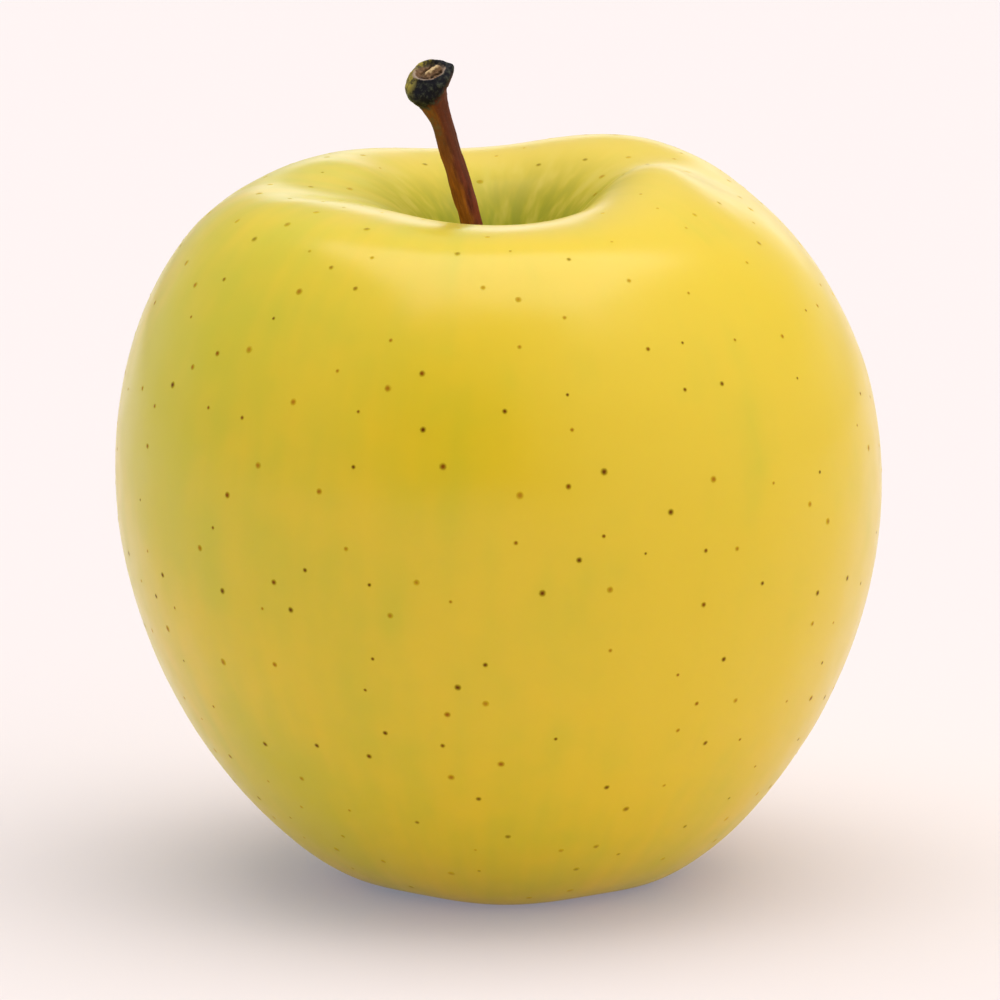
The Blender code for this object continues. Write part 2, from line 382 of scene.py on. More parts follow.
def light_studio():
    """Soft light from all round: a broad box overhead, a window at the right and bright walls behind."""
    world = bpy.data.worlds.new("studio")
    world.use_nodes = True
    bpy.context.scene.world = world
    g = Graph(world.node_tree)
    direction = g.out(g.node("ShaderNodeTexCoord"), "Generated")
    x, y, z = g.split(direction)
    across = g.ramp(-0.50, -0.36, x) * g.ramp(0.46, 0.62, x, 1, 0)
    along = g.ramp(-0.48, -0.22, y) * g.ramp(0.34, 0.44, y, 1, 0)
    overhead = across * along * g.ramp(0.0, 0.2, z) * OVERHEAD_LIGHT
    towards_key = g.vector_math("DOT_PRODUCT", direction, tuple(KEY_FACING))
    key = g.ramp(0.50, 0.97, towards_key) * KEY_LIGHT
    above = g.ramp(0.30, 1.0, z) * UPPER_LIGHT
    behind = g.ramp(0.0, 1.0, y) * REAR_LIGHT
    skyline = g.ramp(-0.1, 0.6, y) * g.ramp(0.05, 0.17, z, 0.35, 1) * g.ramp(0.17, 0.38, z, 1, 0)
    skyline = skyline * (g.ramp(-0.17, -0.05, x) * g.ramp(0.25, 0.60, x, 0.85, 0.05) + 0.20)
    left = g.ramp(0.35, 1.0, x * -1.0) * LEFT_LIGHT
    right = g.ramp(0.1, 1.0, x) * RIGHT_LIGHT
    front = g.ramp(0.0, 1.0, y * -1.0) * g.ramp(0.0, 0.30, z, 1, 0) * LOW_FRONT_LIGHT
    light = overhead + key + above + behind + skyline + left + right + front + EVEN_LIGHT
    seen = g.out(g.node("ShaderNodeLightPath"), "Is Camera Ray")
    background = world.node_tree.nodes["Background"]
    g.fill(background, Color=g.mix(seen, LAMPLIGHT, BACKDROP), Strength=seen + (1 - seen) * light)
    scene = bpy.context.scene
    scene.view_settings.view_transform = "Standard"
    scene.view_settings.look = "None"


def lay_floor():
    """Pale paper under the fruit, with the backdrop's tone wherever it is seen in full light."""
    bm = bmesh.new()
    bmesh.ops.create_grid(bm, x_segments=1, y_segments=1, size=FLOOR_SIZE / 2)
    mesh = smooth_mesh("floor", bm)
    floor = link_object("floor", mesh)
    paper, g, shader = new_material("floor_paper")
    parts = zip(BACKDROP, FLOOR_GLOW, LAMPLIGHT)
    lit = [(tone - glow) / (FLOOR_LIGHT * lamp) for tone, glow, lamp in parts]
    path = g.node("ShaderNodeLightPath")
    seen = g.out(path, "Is Camera Ray")
    mirrored = g.out(path, "Is Glossy Ray")
    share = g.math("MAXIMUM", g.math("MAXIMUM", seen, mirrored), FLOOR_BOUNCE)
    cool = g.math("MAXIMUM", seen, mirrored * MIRRORED_GLOW)
    g.fill(
        shader,
        Base_Color=g.join(*[share * part for part in lit]),
        Emission_Color=g.mix(cool, FLOOR_WARMTH, FLOOR_GLOW),
        Emission_Strength=1,
        Roughness=1,
        Specular_IOR_Level=0,
    )
    mesh.materials.append(paper)


def new_material(name):
    material = bpy.data.materials.new(name)
    material.use_nodes = True
    return material, Graph(material.node_tree), material.node_tree.nodes["Principled BSDF"]


# The fruit's form

RINGS = 190
SEGMENTS = 360
UNEVENNESS = 0.12 * MM
LUMP_SIZE = 9 * MM


def spin_mesh(name, outline, segments):
    """A closed mesh from (radius, height) points spun round Z, with the first and last points on Z."""
    bm = bmesh.new()
    turns = [2 * pi * i / segments for i in range(segments)]
    start, *rings, end = outline
    rows = [[bm.verts.new((r * cos(turn), r * sin(turn), z)) for turn in turns] for r, z in rings]
    tips = [bm.verts.new((0, 0, z)) for _, z in (start, end)]
    for i in range(segments):
        j = (i + 1) % segments
        bm.faces.new((tips[0], rows[0][j], rows[0][i]))
        bm.faces.new((tips[1], rows[-1][i], rows[-1][j]))
        for lower, upper in zip(rows, rows[1:]):
            bm.faces.new((lower[i], lower[j], upper[j], upper[i]))
    bmesh.ops.recalc_face_normals(bm, faces=bm.faces)
    return smooth_mesh(name, bm)


def fruit_outline():
    """The outline of the solid, closed under the stalk and over the calyx."""
    floor = HEIGHT - CAVITY_DEPTH
    skin = curve_through(
        [
            (STALK_RADIUS + 0.3 * MM, floor),
            (4.5 * MM, HEIGHT - 0.50 * CAVITY_DEPTH),
            (10.5 * MM, HEIGHT - 0.12 * CAVITY_DEPTH),
            (CREST_RADIUS, HEIGHT),
            (25.5 * MM, 66.2 * MM),
            (34.0 * MM, 56.0 * MM),
            (HALF_WIDTH, WIDEST_AT),
            (33.0 * MM, 20.0 * MM),
            (18.7 * MM, 2.0 * MM),
            (BASE_RADIUS, 0),
            (6.8 * MM, 0.5 * BASIN_DEPTH),
            (2.9 * MM, BASIN_DEPTH),
        ],
        RINGS,
    )
    under_stalk = [(0, floor - 0.9 * MM), (0.75 * MM, floor - 0.8 * MM)]
    over_calyx = [(1.6 * MM, BASIN_DEPTH + 0.9 * MM), (0, BASIN_DEPTH + 1.0 * MM)]
    return [*under_stalk, *skin, *over_calyx]


def form_tree():
    """Grows a spun outline into the real fruit, with its lobes, lean, flat spots and faint lumps."""
    tree, g, given, leave = geometry_tree(
        "fruit_form",
        ("Height", "Float", HEIGHT),
        ("Crest radius", "Float", CREST_RADIUS),
        ("Base radius", "Float", BASE_RADIUS),
        ("Unevenness", "Float", UNEVENNESS),
        ("Lump size", "Float", LUMP_SIZE),
    )
    height = given["Height"]
    x, y, z = g.split(g.place())
    radius = g.length(x, y)
    angle = g.math("ARCTAN2", y, x)
    wave = g.math("COSINE", (angle - LOBE_ANGLE) * LOBES)
    outward = g.ramp(0, given["Crest radius"] * 1.25, radius)
    crest = g.ramp(height * 0.45, height, z) * outward
    base = g.ramp(0, height * 0.5, z, 1, 0) * outward
    swell = crest * SHOULDER_SWELL + outward * WAIST_SWELL + base * BASE_SWELL
    foot = g.ramp(0, BASE_REACH, z, 1, 0) * g.ramp(0, given["Base radius"], radius)
    rise = (0.5 - wave * 0.5) * BASE_WAVE - BASE_PRESS
    lift = 0
    for k, (turn, lobe_lift) in enumerate(zip(LOBE_TURNS, SHOULDER_LIFTS)):
        off = angle - (LOBE_ANGLE + turn + 2 * pi * k / LOBES)
        hump = (g.math("COSINE", off) * 0.5 + 0.5) ** SHOULDER_SHARPNESS
        lift = hump * lobe_lift + lift
    fold = 0
    for middle, fold_rise, sharpness, ring, reach in RIM_FOLDS:
        turned = (g.math("COSINE", angle - middle) * 0.5 + 0.5) ** sharpness
        away = (radius - ring) / reach
        fold = turned * g.math("EXPONENT", away * away * -1.0) * fold_rise + fold
    clear = g.ramp(STALK_RADIUS + 0.3 * MM, RIM_FOLD_START, radius)
    fold = fold * clear * g.ramp(height * 0.6, height * 0.85, z)
    out = radius * (wave * swell + 1)
    from_middle = z / height - 0.5
    core_x = from_middle * from_middle * BOW - from_middle * height * LEAN + CENTRE.x
    grown_x = out * g.math("COSINE", angle) + core_x
    grown_y = out * g.math("SINE", angle) + CENTRE.y
    grown_z = g.math("MAXIMUM", z + lift * crest + fold + rise * foot, 0.0)
    position = g.join(grown_x, grown_y, grown_z)
    grown = g.node("GeometryNodeSetPosition", Geometry=given["Geometry"], Position=position)
    place = g.place()
    lumps = g.noise(place, 1 / given["Lump size"], detail=1.5) - 0.5
    off_floor = g.ramp(0, BASE_REACH, g.split(place)[2])
    push = g.vector_math("SCALE", g.normal(), scale=lumps * off_floor * given["Unevenness"] * 2)
    uneven = g.node("GeometryNodeSetPosition", Geometry=g.out(grown), Offset=push)
    g.feed(leave.inputs[0], g.out(uneven))
    return tree


def make_skin():
    skin = link_object("apple_skin", spin_mesh("apple_skin", fruit_outline(), SEGMENTS))
    run_tree(skin, form_tree())
    skin.data.materials.append(skin_material())
    skin.data.shade_smooth()
    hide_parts("fruit")
    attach(skin, "root")
    return skin


# The skin's finish, shared by the skin and its pores

GREEN_PATCH = Vector((-29 * MM, -14 * MM, 50 * MM))
COAT = 0.42
BUMP_HEIGHT = 0.02 * MM
BUMP_STRENGTH = 0.15

# How much each cause greens the skin, against full green, and how much pale shows in streaks and as a
# painted highlight on the crest; the basin's green is darkened as painted shade
LEFT_GREEN = 0.55
LOW_GREEN = 0.36
PATCH_GREEN = 0.34
EVEN_GREEN = 0.04
BASIN_GREEN_AND_SHADE = 0.6
FUNNEL_PALE = 0.14
CREST_PAINTED_HIGHLIGHT = 0.09


def skin_colour_group():
    """Yellow skin, greener on the left, round the stalk and low down, with clouds and faint streaks. The
    green in the cavity and the basin is darkened as painted shade, and a pale band on the crest is a
    painted highlight.
    """
    tree, g, given, leave = new_tree(
        "skin_colour",
        "ShaderNodeTree",
        [
            ("Place", "Vector", None),
            ("Golden", "Color", (0.87, 0.64, 0.020, 1)),
            ("Greenish", "Color", (0.68, 0.61, 0.022, 1)),
            # The cavity's green is darkened as painted shade for the depth of the cavity and the basin.
            ("Cavity green", "Color", (0.210, 0.262, 0.004, 1)),
            # The pale colour serves the real streaks in the funnel and a painted highlight on the crest.
            ("Pale", "Color", (0.84, 0.76, 0.30, 1)),
            ("Patch size", "Float", 11 * MM),
            ("Fleck size", "Float", 0.7 * MM),
        ],
        [
            ("Color", "Color"),
            ("Roughness", "Float"),
            ("Coat", "Float"),
            ("Height", "Float"),
        ],
    )
    place = given["Place"]
    x, y, z = g.split(place)
    radius = g.length(x, y)
    heading = g.vector_math("NORMALIZE", g.join(x, y, 0.0))
    down = z / HEIGHT
    cavity = g.ramp(5 * MM, 18 * MM, radius, 1, 0) * g.ramp(0.55 * HEIGHT, 0.75 * HEIGHT, z)
    basin = g.ramp(5 * MM, 15 * MM, radius, 1, 0) * g.ramp(2 * MM, 14 * MM, z, 1, 0)
    patches = g.noise(place, 1 / given["Patch size"], detail=1.5)
    clouds = g.noise(place, 3.0 / given["Patch size"], detail=1)
    flecks = g.noise(place, 1 / given["Fleck size"])
    turn_x, turn_y, _ = g.split(heading)
    streaks = g.noise(g.join(turn_x * 11, turn_y * 11, down * 3.6), 1.0, detail=1.5)
    strokes = g.noise(g.join(turn_x * 7, turn_y * 7, down * 24.0), 1.0)
    left = g.ramp(-0.90 * HALF_WIDTH, 0.46 * HALF_WIDTH, x, 1, 0)
    low = g.ramp(0.0, 0.45 * HEIGHT, z, 1, 0)
    patch = g.ramp(4 * MM, 21 * MM, g.vector_math("DISTANCE", place, tuple(GREEN_PATCH)), 1, 0)
    drift = (patches - 0.5) * 1.1 + (clouds - 0.5) * 0.35 + (streaks - 0.5) * 0.6
    green = left * LEFT_GREEN + low * LOW_GREEN + patch * PATCH_GREEN + drift + EVEN_GREEN
    colour = g.mix(g.ramp(0.0, 1.0, green), given["Golden"], given["Greenish"])
    # Painted shade: the cavity and the basin take a green that is darkened for their depth.
    cavity_share = cavity * g.ramp(0.30, 0.70, strokes, 0.92, 0.62)
    colour = g.mix(cavity_share, colour, given["Cavity green"])
    colour = g.mix(basin * BASIN_GREEN_AND_SHADE, colour, given["Cavity green"])
    funnel = g.ramp(4 * MM, 8 * MM, radius) * g.ramp(13 * MM, 19 * MM, radius, 1, 0)
    funnel = funnel * g.ramp(0.7 * HEIGHT, 0.85 * HEIGHT, z)
    colour = g.mix(g.ramp(0.45, 0.80, strokes) * funnel * FUNNEL_PALE, colour, given["Pale"])
    # Painted highlight: a pale band along the crest of the shoulders.
    crest = g.ramp(10 * MM, 15 * MM, radius) * g.ramp(18 * MM, 25 * MM, radius, 1, 0)
    crest = crest * g.ramp(0.91 * HEIGHT, 0.98 * HEIGHT, z)
    g.fill(
        leave,
        Color=g.mix(crest * CREST_PAINTED_HIGHLIGHT, colour, given["Pale"]),
        Roughness=g.ramp(0.3, 0.7, clouds, 0.285, 0.33) + cavity * 0.5,
        Coat=(1 - cavity) * g.ramp(0.05 * HEIGHT, 0.42 * HEIGHT, z, 0.20, 1.0) * COAT,
        Height=flecks * 0.4 + clouds * 0.6,
    )
    return tree


def set_waxy(g, shader, height):
    """The gloss, the glow and the fine bump that are the same all over the skin."""
    g.fill(
        shader,
        IOR=1.36,
        Coat_Roughness=0.18,
        Subsurface_Weight=0.18,
        Subsurface_Radius=(1.0, 0.7, 0.15),
        Subsurface_Scale=2.5 * MM,
    )
    add_bump(g, shader, height, BUMP_HEIGHT, BUMP_STRENGTH)


def add_bump(g, shader, height, distance, strength):
    bump = g.node("ShaderNodeBump", Height=height, Distance=distance, Strength=strength)
    g.fill(shader, Normal=g.out(bump))


def place_skin_colour(g):
    """The shared skin in a material: its place, colour, roughness, coat and height."""
    place = g.out(g.node("ShaderNodeTexCoord"), "Object")
    group = g.tree.nodes.new("ShaderNodeGroup")
    group.node_tree = bpy.data.node_groups.get("skin_colour") or skin_colour_group()
    g.fill(group, Place=place)
    return place, *(g.out(group, name) for name in ("Color", "Roughness", "Coat", "Height"))


def skin_material():
    material, g, shader = new_material("waxy_skin")
    _, colour, roughness, coat, height = place_skin_colour(g)
    g.fill(shader, Base_Color=colour, Roughness=roughness, Coat_Weight=coat)
    set_waxy(g, shader, height)
    return material


# Pores

PORE_SPACING = 3.0 * MM
PORES_PER_AREA = 52000  # for each square metre of skin
PORE_SEED = 7
SMALLEST_PORE = 0.20 * MM
LARGEST_PORE = 0.48 * MM
PORE_DOME = 0.035 * MM
PORE_TAN = (0.50, 0.128, 0.002)
PORE_BROWN = (0.170, 0.037, 0.000)
CLEAR_OF_STALK = 5 * MM


def pore_tree():
    """Scatters shallow domed pores over a skin and lays each one on its curve."""
    tree, g, given, leave = geometry_tree(
        "pore_scatter",
        ("Skin", "Object", None),
        ("Spacing", "Float", PORE_SPACING),
        ("Density", "Float", PORES_PER_AREA),
        ("Smallest", "Float", SMALLEST_PORE),
        ("Largest", "Float", LARGEST_PORE),
        ("Dome", "Float", PORE_DOME),
        ("Seed", "Int", PORE_SEED),
        ("Material", "Material", None),
    )
    skin = g.out(g.node("GeometryNodeObjectInfo", Object=given["Skin"]), "Geometry")
    place = g.place()
    x, y, z = g.split(place)
    radius = g.length(x, y)
    off_foot = g.ramp(1.0 * MM, 1.5 * MM, z)
    more = {"operation": "GREATER_THAN"}
    open_skin = g.node("FunctionNodeCompare", more, A=radius * off_foot, B=CLEAR_OF_STALK)
    scatter = g.node(
        "GeometryNodeDistributePointsOnFaces",
        {"distribute_method": "POISSON"},
        Mesh=skin,
        Selection=g.out(open_skin),
        Distance_Min=given["Spacing"],
        Density_Max=given["Density"],
        Seed=given["Seed"],
    )
    size_draw = g.draw(0.0, 1.0, given["Seed"] + 1)
    size = given["Smallest"] + size_draw * (given["Largest"] - given["Smallest"])
    shade = g.draw(0.0, 1.0, given["Seed"] + 2)
    points = g.out(scatter, "Points")
    points = store(g, points, "pore_centre", place, "FLOAT_VECTOR")
    points = store(g, points, "pore_size", size)
    points = store(g, points, "pore_shade", shade)
    ball = g.out(g.node("GeometryNodeMeshUVSphere", Segments=10, Rings=4, Radius=1.0))
    ball = store(g, ball, "local", place, "FLOAT_VECTOR")
    copies = g.node(
        "GeometryNodeInstanceOnPoints",
        Points=points,
        Instance=ball,
        Rotation=g.out(scatter, "Rotation"),
        Scale=size,
    )
    domes = g.out(g.node("GeometryNodeRealizeInstances", Geometry=g.out(copies)))
    local_x, local_y, local_z = g.split(g.read("local", "FLOAT_VECTOR"))
    inward = 1 - g.math("MINIMUM", local_x * local_x + local_y * local_y, 1.0)
    pit = g.read("pore_shade") * 0.5
    top = given["Dome"] * inward * (1 - inward * pit) - 0.003 * MM
    buried = given["Dome"] * (-1.0 - 1.5 * inward)
    above = g.ramp(-0.01, 0.01, local_z)
    rise = top * above + buried * (1 - above)
    nearest = nearest_on(g, skin, place, place)
    facing = nearest_on(g, skin, g.normal(), place)
    laid = g.node(
        "GeometryNodeSetPosition",
        Geometry=domes,
        Position=g.vector_math("ADD", nearest, g.vector_math("SCALE", facing, scale=rise)),
    )
    smooth = g.node("GeometryNodeSetShadeSmooth", Geometry=g.out(laid))
    dressed = g.node("GeometryNodeSetMaterial", Geometry=g.out(smooth), Material=given["Material"])
    g.feed(leave.inputs[0], g.out(dressed))
    return tree


def store(g, geometry, name, value, data_type="FLOAT"):
    """Keeps a value on a geometry's points under a name."""
    settings = {"data_type": data_type, "domain": "POINT"}
    inputs = {"Geometry": geometry, "Name": name, "Value": value}
    return g.out(g.node("GeometryNodeStoreNamedAttribute", settings, **inputs))


def nearest_on(g, surface, value, place):
    """A value of a surface, read at its nearest place."""
    settings = {"data_type": "FLOAT_VECTOR"}
    inputs = {"Mesh": surface, "Value": value, "Sample_Position": place}
    return g.out(g.node("GeometryNodeSampleNearestSurface", settings, **inputs))


def make_pores(skin):
    pores = link_object("skin_pores", bpy.data.meshes.new("skin_pores"))
    run_tree(pores, pore_tree(), Skin=skin, Material=pore_material())
    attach(pores, "root")


def pore_material():
    """Skin colour at a pore's edge and a dull brown corky spot with a ragged edge."""
    material, g, shader = new_material("pore_cork")
    place, colour, roughness, coat, height = place_skin_colour(g)
    centre = g.read("pore_centre", "FLOAT_VECTOR")
    size = g.read("pore_size")
    shade = g.read("pore_shade")
    ragged = (g.noise(place, 1 / (0.25 * MM)) - 0.5) * 0.28
    off = g.vector_math("DISTANCE", place, centre) / size + ragged
    z = g.split(place)[2]
    high = g.ramp(0.85 * HEIGHT, HEIGHT, z, 1.0, 0.6)
    faint = high * g.ramp(0.05 * HEIGHT, 0.28 * HEIGHT, z, 0.45, 1.0)
    spot = g.ramp(0.10, 0.95, off, 1, 0) * g.ramp(0.0, 0.6, shade, 0.70, 1.0) * faint
    brown = g.mix(g.ramp(0.20, 0.85, shade), PORE_TAN, PORE_BROWN)
    g.fill(
        shader,
        Base_Color=g.mix(spot, colour, brown),
        Roughness=roughness + spot * 0.06,
        Coat_Weight=coat * (1 - spot) * 0.3,
        Specular_IOR_Level=0.12,
    )
    set_waxy(g, shader, height)
    return material


# The stalk

GAP = 0.3 * MM
STALK_SOCKET = 3.0 * MM
STALK_ROWS = 230
STALK_SIDES = 96
SPUR_LENGTH = 0.55 * MM
SPUR_ANGLE = radians(12)
SPUR_HALF_ANGLE = radians(12)
SCAR_ACROSS = (Vector((1, 0, 0)) - SCAR_FACING * SCAR_FACING.x).normalized()
SCAR_UP = SCAR_FACING.cross(SCAR_ACROSS)
SCAR_CENTRE = Vector((HEAD_RINGS[-1][0], CENTRE.y, HEAD_RINGS[-1][1]))
SCAR_MIDDLE = in_mm(-0.12, -0.10)  # of the sunk oval, across and up in the scar's plane
SCAR_RADII = in_mm(1.50, 1.30)
SCAR_PROFILE = [  # each as (share of the rim's radius, millimetres above the rim)
    (1.0, 0.0),
    (0.95, 0.10),
    (0.86, 0.13),
    (0.76, 0.0),
    (0.66, -0.2),
    (0.5, -0.3),
    (0.1, -0.3),
]
SCAR_ROWS = 40
SCAR_WARP = 0.30 * MM
SCAR_WARP_SIZE = 0.50 * MM

# Colours of the stalk, the pairs as (dark, pale)
# Painted light and shade: the red is the stalk's shaded right side and the orange its lit left side,
# with more orange low down.
SHADED_RED_BARK = ((0.085, 0.018, 0.010), (0.270, 0.056, 0.024))
LIT_ORANGE_BARK = ((0.180, 0.052, 0.008), (0.500, 0.160, 0.016))
BLACK_BAND_TONES = ((0.005, 0.005, 0.010), (0.055, 0.062, 0.046))
MOSS = ((0.130, 0.165, 0.070), (0.370, 0.305, 0.050))
SCAR_WOOD = ((0.095, 0.048, 0.024), (0.300, 0.175, 0.085))
UPPER_BARK = (0.090, 0.033, 0.015)
OLIVE_NECK = (0.150, 0.125, 0.045)
SCAR_RIM = (0.400, 0.300, 0.230)
PALE_SPECK = (0.36, 0.22, 0.14)

# Lines on the scar, each from one (across, up) place to another
SCAR_RIDGE = (in_mm(-0.40, -0.10), in_mm(0.62, 0.62))
SCAR_SLOT = (in_mm(0.05, -0.62), in_mm(1.00, 0.05))
SCAR_GROOVE = (in_mm(-0.95, 0.02), in_mm(0.10, 1.05))
SCAR_PATCH = (in_mm(-1.00, -0.66), in_mm(-0.45, -0.70))
SCAR_CARVING = [  # each as (line, width, height)
    (SCAR_RIDGE, 0.36 * MM, 0.30 * MM),
    (SCAR_SLOT, 0.26 * MM, -0.28 * MM),
    (SCAR_GROOVE, 0.30 * MM, -0.22 * MM),
    (SCAR_PATCH, 0.34 * MM, -0.15 * MM),
]
SCAR_TINTS_AND_LIGHT = [  # each as (line, width, share, colour)
    (SCAR_PATCH, 0.40 * MM, 0.85, (0.050, 0.034, 0.026)),
    (SCAR_GROOVE, 0.30 * MM, 0.8, (0.100, 0.050, 0.022)),
    # Painted highlight: cream along the raised ridge.
    (SCAR_RIDGE, 0.29 * MM, 1.0, (0.690, 0.500, 0.260)),
    # Painted shade: near-black in the sunk slot.
    (SCAR_SLOT, 0.27 * MM, 0.95, (0.016, 0.012, 0.008)),
]


def stalk_rings():
    """Rows of points up the stalk and over its scar, each with its place on a straightened stalk."""
    floor = HEIGHT - CAVITY_DEPTH
    foot = core_at(floor - STALK_SOCKET + GAP)
    mouth = core_at(floor)
    stem = [(foot.x, foot.z), (mouth.x, mouth.z), *STALK_PATH]
    stations = [(x, z, STALK_RADIUS) for x, z in stem] + HEAD_RINGS
    outline = curve_through(stations, STALK_ROWS)
    centres = [Vector((x, CENTRE.y, z)) for x, z, _ in outline]
    lengths = [0.0]
    for before, after in zip(centres, centres[1:]):
        lengths.append(lengths[-1] + (after - before).length)
    head_start, head_end = HEAD_RINGS[0][1], HEAD_RINGS[-1][1]
    rings = []
    for i, (centre, row) in enumerate(zip(centres, outline)):
        ahead = centres[min(i + 1, len(centres) - 1)] - centres[max(i - 1, 0)]
        tilt = smooth_step(head_start - 1.0 * MM, head_end, centre.z)
        facing = ahead.normalized().lerp(SCAR_FACING, tilt).normalized()
        rings.append((centre, facing, row[2], tilt**8 * SPUR_LENGTH / row[2], lengths[i]))
    rim = outline[-1][2]
    spur = SPUR_LENGTH / rim
    for share, height in curve_through(SCAR_PROFILE, SCAR_ROWS)[1:]:
        centre = SCAR_CENTRE + SCAR_FACING * height * MM
        reach = (1 - share) * rim
        rings.append((centre, SCAR_FACING, rim * share, spur * share**6, lengths[-1] + reach))
    return rings


def stalk_mesh():
    """The stalk before its bark is roughened, with bark_place on every point."""
    bm = bmesh.new()
    layer = bm.verts.layers.float_vector.new("bark_place")
    rows = []
    for centre, facing, radius, spur, along in stalk_rings():
        across = (Vector((1, 0, 0)) - facing * facing.x).normalized()
        up = facing.cross(across)
        row = []
        for i in range(STALK_SIDES):
            angle = 2 * pi * i / STALK_SIDES
            off = (angle - SPUR_ANGLE + pi) % (2 * pi) - pi
            reach = radius * (1 + spur * exp(-((off / SPUR_HALF_ANGLE) ** 2)))
            vert = bm.verts.new(centre + reach * (across * cos(angle) + up * sin(angle)))
            vert[layer] = Vector((cos(angle) * STALK_RADIUS, sin(angle) * STALK_RADIUS, along))
            row.append(vert)
        rows.append(row)
    close_rows(bm, rows)
    return smooth_mesh("stalk_bark", bm)


def close_rows(bm, rows):
    """Faces between rows of points, and a face over each open end."""
    for lower, upper in zip(rows, rows[1:]):
        count = len(lower)
        for i in range(count):
            j = (i + 1) % count
            bm.faces.new((lower[i], lower[j], upper[j], upper[i]))
    bm.faces.new(rows[0][::-1])
    bm.faces.new(rows[-1])
    bmesh.ops.recalc_face_normals(bm, faces=bm.faces)


def scar_place(g, place):
    """How far across, up and out of the scar's plane a place is."""
    off = g.vector_math("SUBTRACT", place, tuple(SCAR_CENTRE))
    axes = (SCAR_ACROSS, SCAR_UP, SCAR_FACING)
    return [g.vector_math("DOT_PRODUCT", off, tuple(axis)) for axis in axes]


def scar_warp(g, across, up, place):
    """A place on the scar, shifted a little each way, so that what is drawn there has ragged edges."""
    shift_across = (g.noise(place, 1 / SCAR_WARP_SIZE) - 0.5) * (2 * SCAR_WARP)
    moved = g.vector_math("ADD", place, (5 * MM, 0, 0))
    shift_up = (g.noise(moved, 1 / SCAR_WARP_SIZE) - 0.5) * (2 * SCAR_WARP)
    return across + shift_across, up + shift_up


def near_line(g, across, up, line, width):
    """1 along a line on the scar and 0 further than width from it."""
    (x0, y0), (x1, y1) = line
    run_x, run_y = x1 - x0, y1 - y0
    length = run_x * run_x + run_y * run_y
    share = ((across - x0) * run_x + (up - y0) * run_y) / length
    share = g.math("MINIMUM", g.math("MAXIMUM", share, 0.0), 1.0)
    off_x = across - x0 - share * run_x
    off_y = up - y0 - share * run_y
    return g.ramp(0.2 * width, width, g.length(off_x, off_y), 1, 0)


def scar_oval(g, across, up, wobble):
    """How far a place on the scar is from its middle: 1 on the rim of the sunk oval."""
    x = (across - SCAR_MIDDLE[0]) / SCAR_RADII[0]
    y = (up - SCAR_MIDDLE[1]) / SCAR_RADII[1]
    return g.length(x, y) + wobble


def bark_tree():
    """Roughens the stalk: ridges and flats along it, knobs on its head, and the marks on its scar."""
    tree, g, given, leave = geometry_tree(
        "bark_form",
        ("Ridge height", "Float", 0.10 * MM),
        ("Flat depth", "Float", 0.22 * MM),
        ("Knob height", "Float", 0.22 * MM),
        ("Ridge width", "Float", 0.45 * MM),
        ("Head start", "Float", HEAD_RINGS[0][1]),
        ("Top", "Float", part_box("stalk")[1][2]),
    )
    place = g.place()
    bark = g.read("bark_place", "FLOAT_VECTOR")
    x, y, along = g.split(bark)
    height = g.split(place)[2]
    head = g.ramp(given["Head start"] - 1.5 * MM, given["Head start"] + 1.0 * MM, height)
    width = given["Ridge width"]
    ridges = g.grain(x, y, along, width, 9 * width, detail=3, roughness=0.6) - 0.5
    flats = g.grain(x, y, along, 3 * width, 7 * width, detail=1) - 0.5
    knobs = g.noise(place, 1 / (1.1 * MM), detail=2.5, roughness=0.55) - 0.5
    across, up, out = scar_place(g, place)
    across, up = scar_warp(g, across, up, place)
    oval = scar_oval(g, across, up, knobs * 0.25)
    on_scar = g.ramp(-0.7 * MM, -0.45 * MM, out) * g.ramp(1.0, 1.2, oval, 1, 0)
    stem_push = ridges * given["Ridge height"] * 2 + flats * given["Flat depth"] * 2
    head_push = knobs * given["Knob height"] * 2 + ridges * given["Ridge height"]
    push = (stem_push * (1 - head) + head_push * head) * (1 - on_scar)
    rough = g.vector_math("SCALE", g.normal(), scale=push)
    marks = 0
    for line, line_width, line_height in SCAR_CARVING:
        marks = near_line(g, across, up, line, line_width) * line_height + marks
    marks = marks + knobs * (0.25 * MM)
    carved = g.vector_math("SCALE", tuple(SCAR_FACING), scale=marks * on_scar)
    pushed = g.vector_math("ADD", place, g.vector_math("ADD", rough, carved))
    new_x, new_y, new_z = g.split(pushed)
    capped = g.join(new_x, new_y, g.math("MINIMUM", new_z, given["Top"]))
    shaped = g.node("GeometryNodeSetPosition", Geometry=given["Geometry"], Position=capped)
    g.feed(leave.inputs[0], g.out(shaped))
    return tree


